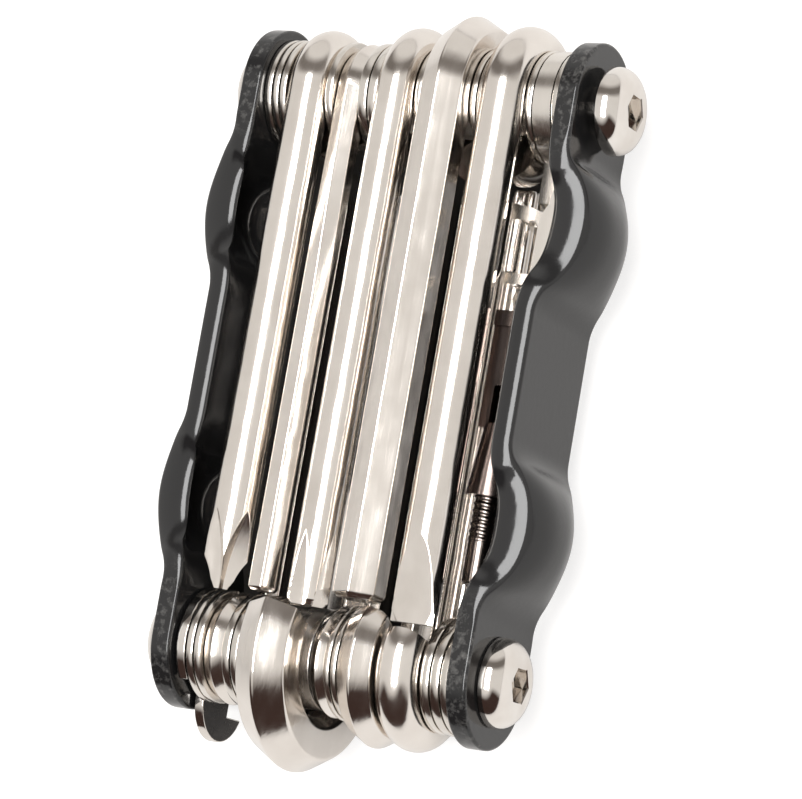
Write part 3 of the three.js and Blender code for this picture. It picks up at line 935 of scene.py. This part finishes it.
def add_pivot_screw(node, axle):
    """A button-headed screw with its head at the right."""
    low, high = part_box(node)
    rings = head_rings(high.x, 1, axle)
    rings += [
        round_ring(SCREW_RADIUS, high.x - HEAD_HEIGHT, axle),
        round_ring(SCREW_RADIUS, low.x + SCREW_CHAMFER, axle),
        round_ring(SCREW_RADIUS - SCREW_CHAMFER, low.x, axle),
    ]
    points, faces = loft(rings)
    mesh_piece(node, points, faces, POLISHED, "frame")


# ---------------------------------------------------------------- chain tool and spoke key

SAME_POINT = 0.0005 * MM
SAME_PLANE = radians(1)
COPY_SHARP_ANGLE = 40
ROUNDED_FROM = radians(35)
SIDE_FACE_SLOPE = 0.5  # the least share of X in the normal of a face that counts as a side

TURNED_COUNT = 64  # points round the press screw and the press pin
THREAD_SHARP_ANGLE = 50
PITCH = 0.75 * MM  # of the drawn thread; the joint moves the screw 1 mm a turn
STEPS_PER_PITCH = 8
THREAD_DEPTH = 0.16 * MM
GROOVE_SLOPE = 2.6
PLAIN_LENGTH = 4.6 * MM
PLAIN_SHARE = 0.93
NECK = 0.1 * MM  # between the plain part and the thread
FREE_END_CHAMFER = (0.3 * MM, 0.35 * MM)  # inwards and along
THREAD_END_CHAMFER = (0.4 * MM, 0.3 * MM)
HEX_RECESS_RADIUS = 0.8 * MM
HEX_RECESS_DEPTH = 2 * MM
RECESS_MOUTH = (1.02 * MM, 0.1 * MM)  # radius and depth
RECESS_POINT = (0.05 * MM, 0.2 * MM)  # radius and depth
PIN_EDGE = 0.3 * MM


def add_rounded_copy(node, material, edge_material, body, width, segments):
    """A copy of a node's solid with its edges rounded. The edges and the rim between the two
    faces take their own material."""
    solid = bmesh.new()
    solid.from_mesh(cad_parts[node].data)
    bmesh.ops.remove_doubles(solid, verts=solid.verts, dist=SAME_POINT)
    bmesh.ops.dissolve_limit(solid, angle_limit=SAME_PLANE, verts=solid.verts, edges=solid.edges)
    mesh = bpy.data.meshes.new(node + "_fine")
    solid.to_mesh(mesh)
    solid.free()
    shade_smooth(mesh, COPY_SHARP_ANGLE)
    mesh.materials.clear()
    mesh.materials.append(material)
    mesh.materials.append(edge_material)
    for polygon in mesh.polygons:
        polygon.material_index = 0 if abs(polygon.normal.x) > SIDE_FACE_SLOPE else 1
    piece = add_object(node + "_fine", mesh)
    rounding = piece.modifiers.new("rounded_edges", "BEVEL")
    rounding.material = 1
    rounding.width = width
    rounding.segments = segments
    rounding.limit_method = "ANGLE"
    rounding.angle_limit = ROUNDED_FROM
    rounding.harden_normals = False
    finish_piece(piece, node, body, keep_sharp=False)


def turned_measures(node):
    """The ends, the middle and the radius of a turned piece that lies along Y."""
    low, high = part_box(node)
    middle = ((low.x + high.x) / 2, (low.z + high.z) / 2)
    return low.y, high.y, middle, (high.x - low.x) / 2


def turned_ring(reach_at, y, middle):
    """Points round an axis along Y, at the reach given for each share of a turn."""
    middle_x, middle_z = middle
    ring = []
    for index in range(TURNED_COUNT):
        share = index / TURNED_COUNT
        angle = 2 * pi * share
        reach = reach_at(share)
        ring.append((middle_x + reach * cos(angle), y, middle_z - reach * sin(angle)))
    return ring


def turned_circle(radius, y, middle):
    """Points of a circle round an axis along Y."""
    return turned_ring(lambda share: radius, y, middle)


def turned_hexagon(radius, y, middle):
    """Points of a hexagon round an axis along Y, with the radius of the circle inside it."""
    return turned_ring(lambda share: radius * hexagon_reach(2 * pi * share), y, middle)


def thread_ring(radius, along, y, middle):
    """A ring of the thread, at a distance along it. The thread is drawn left-handed."""
    def reach_at(share):
        phase = (along / PITCH + share) % 1
        return radius - THREAD_DEPTH * (1 - min(1.0, abs(phase - 0.5) * GROOVE_SLOPE))

    return turned_ring(reach_at, y, middle)


def add_press_screw(node):
    """The press screw: a socket in its free end, a plain part, then the thread."""
    low_y, high_y, middle, radius = turned_measures(node)
    mouth_radius, mouth_depth = RECESS_MOUTH
    point_radius, point_depth = RECESS_POINT
    free_inset, free_length = FREE_END_CHAMFER
    end_inset, end_length = THREAD_END_CHAMFER
    plain_radius = radius * PLAIN_SHARE
    rings = [
        turned_circle(point_radius, low_y + HEX_RECESS_DEPTH + point_depth, middle),
        turned_hexagon(HEX_RECESS_RADIUS, low_y + HEX_RECESS_DEPTH, middle),
        turned_hexagon(HEX_RECESS_RADIUS, low_y + mouth_depth, middle),
        turned_circle(mouth_radius, low_y, middle),
        turned_circle(plain_radius - free_inset, low_y, middle),
        turned_circle(plain_radius, low_y + free_length, middle),
        turned_circle(plain_radius, low_y + PLAIN_LENGTH, middle),
    ]
    thread_start = low_y + PLAIN_LENGTH + NECK
    thread_length = high_y - end_length - thread_start
    steps = round(thread_length / (PITCH / STEPS_PER_PITCH))
    for step in range(steps + 1):
        along = thread_length * step / steps
        rings.append(thread_ring(radius, along, thread_start + along, middle))
    rings.append(turned_circle(radius - end_inset, high_y, middle))
    points, faces = loft(rings)
    # The press screw takes the chrome coloured dark as painted shade.
    mesh_piece(
        node,
        points,
        faces,
        PAINTED_SHADE_CHROME,
        body="press_screw",
        sharp_angle=THREAD_SHARP_ANGLE,
    )


def add_press_pin(node):
    """A plain pin with a rounded upper end."""
    low_y, high_y, middle, radius = turned_measures(node)
    rings = [turned_circle(radius, low_y, middle), turned_circle(radius, high_y - PIN_EDGE, middle)]
    for angle in (radians(30), radians(60), radians(90)):
        drawn_in = PIN_EDGE * (1 - cos(angle))
        y = high_y - PIN_EDGE * (1 - sin(angle))
        rings.append(turned_circle(radius - drawn_in, y, middle))
    points, faces = loft(rings)
    # The press pin takes the chrome coloured dark as painted shade.
    mesh_piece(node, points, faces, PAINTED_SHADE_CHROME, "press_pin")


for node, side in (("right_side_plate", 1), ("left_side_plate", -1)):
    add_side_plate(node, side)
for name, axle in (("upper", UPPER_AXLE), ("lower", LOWER_AXLE)):
    add_pivot_post(name + "_pivot_post", axle)
for name, axle in (("upper", UPPER_AXLE), ("lower", LOWER_AXLE)):
    add_pivot_screw(name + "_pivot_screw", axle)
# The chain tool's body carries painted shade on its spine and its boss.
add_rounded_copy(
    "chain_tool_body",
    CHAIN_TOOL_STEEL,
    edge_material=CHAIN_TOOL_STEEL,
    body="chain_tool",
    width=0.22 * MM,
    segments=3,
)
add_rounded_copy(
    "spoke_key",
    DARK_STEEL,
    edge_material=POLISHED,
    body="spoke_key",
    width=0.5 * MM,
    segments=4,
)
add_press_screw("chain_tool_screw")
add_press_pin("chain_tool_pin")


# ---------------------------------------------------------------- camera, floor and light

CAMERA_DISTANCE = 0.4031
CAMERA_LENS = 165.66  # millimetres, like the sensor
CAMERA_SENSOR = 36
CAMERA_SHIFT = (0.0182, -0.0258)

FLOOR_REACH = 3.0
FLOOR_COLOUR = (0.4, 0.39, 0.38, 1)
# Painted shadow on the floor: the shadow colour in a wide patch that only reflections see, and the
# darker colour below in a smaller patch under the tool that every ray sees.
SHADOW_COLOUR = (0.035, 0.028, 0.024, 1)
PAINTED_SHADE_COLOUR = (0.02, 0.018, 0.016, 1)

ROOM_COLOUR = (0.79, 0.765, 0.735, 1)
BAND_COLOUR = (0.2, 0.18, 0.165, 1)
DARK_SIDE_COLOUR = (0.05, 0.03, 0.025, 1)

WHITE = (1, 1, 1, 1)
BLACK = (0, 0, 0, 1)


def add_camera():
    """The camera looks down on the front layer from the right plate's side."""
    towards_camera = Vector((0.47099, -0.15319, 0.86874)).normalized()
    picture_up = Vector((-0.07923, 0.97348, 0.21461)).normalized()
    right = picture_up.cross(towards_camera)
    aim = Vector((0, (UPPER_AXLE[0] + LOWER_AXLE[0]) / 2, UPPER_AXLE[1]))
    data = bpy.data.cameras.new("camera")
    data.sensor_width = CAMERA_SENSOR
    data.lens = CAMERA_LENS
    data.shift_x, data.shift_y = CAMERA_SHIFT
    camera = add_object("camera", data)
    turn = Matrix((right, picture_up, towards_camera)).transposed().to_4x4()
    camera.matrix_world = Matrix.Translation(aim + towards_camera * CAMERA_DISTANCE) @ turn
    bpy.context.scene.camera = camera


def soft_rectangle(nodes, links, separate, middle_x, reach_x, reach_y, softness):
    """1 inside a rectangle of the floor and 0 outside it, with a soft border."""
    centred = nodes.new("ShaderNodeMath")
    centred.operation = "SUBTRACT"
    centred.inputs[1].default_value = middle_x
    links.new(separate.outputs["X"], centred.inputs[0])
    sides = []
    for value, reach in ((centred.outputs["Value"], reach_x), (separate.outputs["Y"], reach_y)):
        size = nodes.new("ShaderNodeMath")
        size.operation = "ABSOLUTE"
        links.new(value, size.inputs[0])
        sides.append(remap(nodes, links, size.outputs["Value"], 1, 0, reach - softness, reach))
    return multiply(nodes, links, *sides)


def floor_material():
    """A pale table with a painted shadow just under the tool, a dark patch, so that its gaps stay
    dark. Reflections see a wider painted shadow, as a tool standing on its own shadow would.
    The rest of the table glows for the camera, so that it is as white as the background."""
    material, nodes, links, shader = new_material("pale_floor")
    position = nodes.new("ShaderNodeTexCoord")
    separate = nodes.new("ShaderNodeSeparateXYZ")
    links.new(position.outputs["Object"], separate.inputs["Vector"])
    camera_ray = nodes.new("ShaderNodeLightPath").outputs["Is Camera Ray"]
    reflected = remap(nodes, links, camera_ray, low=1, high=0, from_low=0, from_high=1)
    # Painted shadow: a dark patch just under the tool, which also does not glow.
    painted_shade_patch = soft_rectangle(
        nodes,
        links,
        separate,
        middle_x=-6.5 * MM,
        reach_x=22.5 * MM,
        reach_y=36 * MM,
        softness=5 * MM,
    )
    # Painted shadow that only reflections see, wider than the patch under the tool.
    shadow = soft_rectangle(
        nodes,
        links,
        separate,
        middle_x=-6 * MM,
        reach_x=27 * MM,
        reach_y=36 * MM,
        softness=6 * MM,
    )
    shadow = multiply(nodes, links, shadow, reflected)
    pale = colour_mix(nodes, links, shadow, FLOOR_COLOUR, SHADOW_COLOUR)
    links.new(colour_mix(nodes, links, painted_shade_patch, pale, PAINTED_SHADE_COLOUR), shader.inputs["Base Color"])
    links.new(colour_mix(nodes, links, painted_shade_patch, WHITE, BLACK), shader.inputs["Emission Color"])
    seen = remap(nodes, links, camera_ray, low=0.3, high=0.75, from_low=0, from_high=1)
    lit = remap(nodes, links, shadow, low=1, high=0, from_low=0, from_high=1)
    links.new(multiply(nodes, links, seen, lit), shader.inputs["Emission Strength"])
    shader.inputs["Roughness"].default_value = 0.9
    return material


def add_floor():
    """A square floor under the tool."""
    low, high = -FLOOR_REACH, FLOOR_REACH
    mesh = bpy.data.meshes.new("floor")
    points = [(low, low, 0), (high, low, 0), (high, high, 0), (low, high, 0)]
    mesh.from_pydata(points, [], [(0, 1, 2, 3)])
    mesh.materials.append(floor_material())
    floor = add_object("floor", mesh)


def add_softbox(name, place, size, power):
    """An area light that faces the middle of the tool. Its size is given across and along it."""
    data = bpy.data.lights.new(name, "AREA")
    data.shape = "RECTANGLE"
    data.size, data.size_y = size
    data.energy = power
    light = add_object(name, data)
    light.visible_camera = False
    aim = Vector((0, 0, UPPER_AXLE[1]))
    outwards = (Vector(place) - aim).normalized()
    across = Vector((0, 1, 0)).cross(outwards).normalized()
    turn = Matrix((across, outwards.cross(across), outwards)).transposed().to_4x4()
    light.matrix_world = Matrix.Translation(place) @ turn


def add_world():
    """A pale room: dark brown on the lower axle's side except overhead, with a grey band
    across the upper axle's side, and plain white for the camera."""
    world = bpy.data.worlds.new("studio")
    world.use_nodes = True
    nodes = world.node_tree.nodes
    links = world.node_tree.links
    direction = nodes.new("ShaderNodeTexCoord")
    separate = nodes.new("ShaderNodeSeparateXYZ")
    links.new(direction.outputs["Generated"], separate.inputs["Vector"])
    along, height = separate.outputs["Y"], separate.outputs["Z"]
    towards_lower = remap(nodes, links, along, low=1, high=0, from_low=-0.46, from_high=-0.25)
    below_softbox = remap(nodes, links, height, low=1, high=0, from_low=0.62, from_high=0.82)
    dark_side = multiply(nodes, links, towards_lower, below_softbox)
    band_start = remap(nodes, links, along, low=0, high=1, from_low=0.36, from_high=0.5)
    band_end = remap(nodes, links, along, low=1, high=0, from_low=0.66, from_high=0.82)
    band = multiply(nodes, links, band_start, band_end)
    pale = colour_mix(nodes, links, band, ROOM_COLOUR, BAND_COLOUR)
    room = colour_mix(nodes, links, dark_side, pale, DARK_SIDE_COLOUR)
    camera_ray = nodes.new("ShaderNodeLightPath").outputs["Is Camera Ray"]
    seen = colour_mix(nodes, links, camera_ray, room, WHITE)
    links.new(seen, nodes["Background"].inputs["Color"])
    bpy.context.scene.world = world


add_camera()
add_floor()
add_world()
add_softbox("overhead_softbox", place=(0.105, -0.005, 0.57), size=(0.27, 0.54), power=4.3)
bpy.context.scene.view_settings.view_transform = "Standard"
